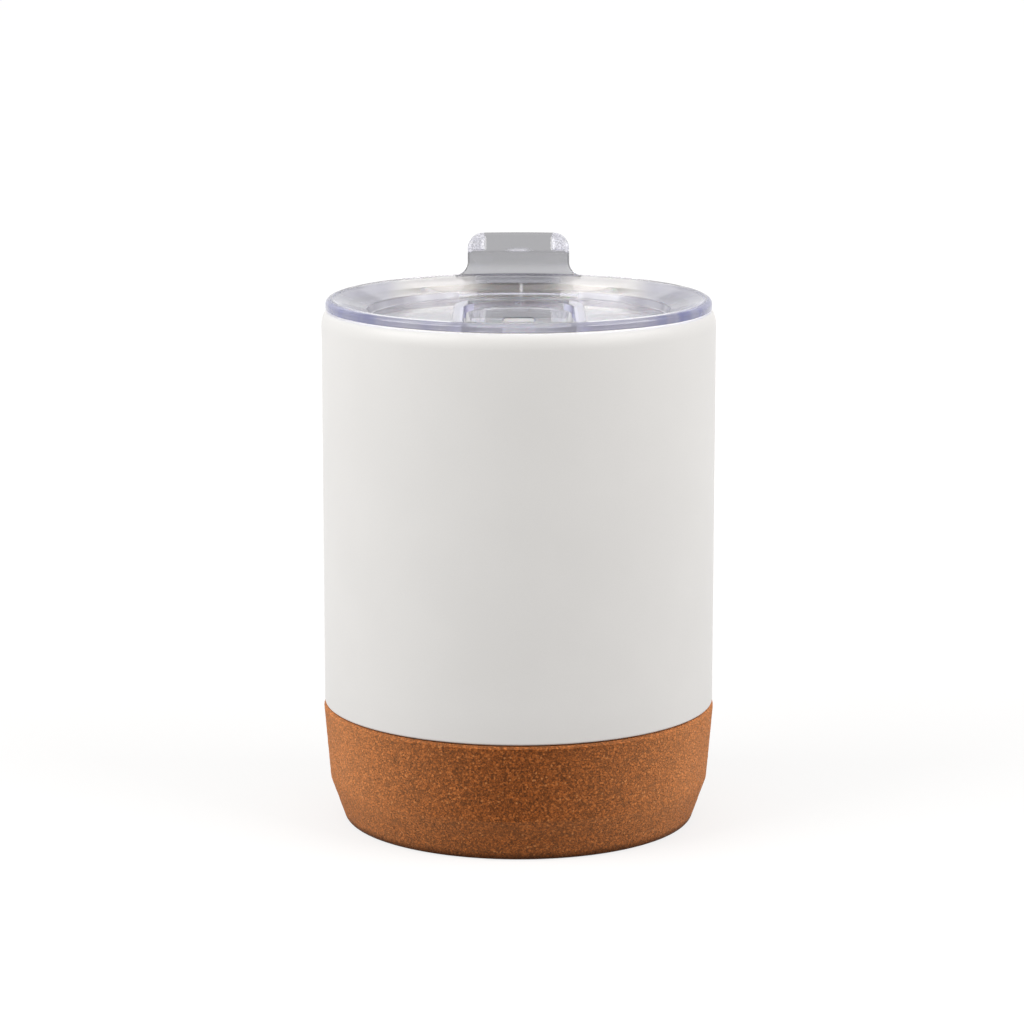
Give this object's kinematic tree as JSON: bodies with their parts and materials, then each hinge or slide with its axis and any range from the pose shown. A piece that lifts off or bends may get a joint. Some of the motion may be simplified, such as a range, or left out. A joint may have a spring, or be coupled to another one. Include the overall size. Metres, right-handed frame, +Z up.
{
  "type": "vacuum mug with slide lid",
  "caption": "Double-walled steel mug with a cork base and a clear press-in lid: a slide opens the drinking hole and a thumb tab lifts the lid off.",
  "frame": {"origin": "middle of the cork base's underside, on the mug's axis", "axes": "+Z up along the mug's axis, -Y towards the drinking hole, +Y towards the thumb tab, +X to the right seen from the drinking side"},
  "size_m": [0.0804, 0.0805, 0.1169],
  "materials": {
    "white_coat": "satin",
    "liner_steel": "satin",
    "pressed_steel": "satin",
    "sealing_glass": "gloss",
    "getter_alloy": "matte",
    "cork": "matte",
    "adhesive": "matte",
    "clear_plastic": "gloss",
    "silicone": "satin"
  },
  "bodies": {
    "cup": {"outer_shell": "white_coat", "inner_liner": "liner_steel", "liner_base": "liner_steel", "outer_base": "pressed_steel", "vacuum_seal": "sealing_glass", "getter_cup": "pressed_steel", "getter_pellet": "getter_alloy", "cork_base": "cork", "adhesive_disc": "adhesive"},
    "lid": {"lid_body": "clear_plastic", "lid_gasket": "silicone"},
    "slider": {"slide": "clear_plastic", "slide_seal": "silicone"}
  },
  "joints": [
    {"name": "lid_lift", "type": "slide", "parent": "cup", "child": "lid", "axis": [0, 0, 1], "range_m": [0, 0.03]},
    {"name": "slide_open", "type": "slide", "parent": "lid", "child": "slider", "axis": [0, 1, 0], "range_m": [0, 0.0088]}
  ]
}
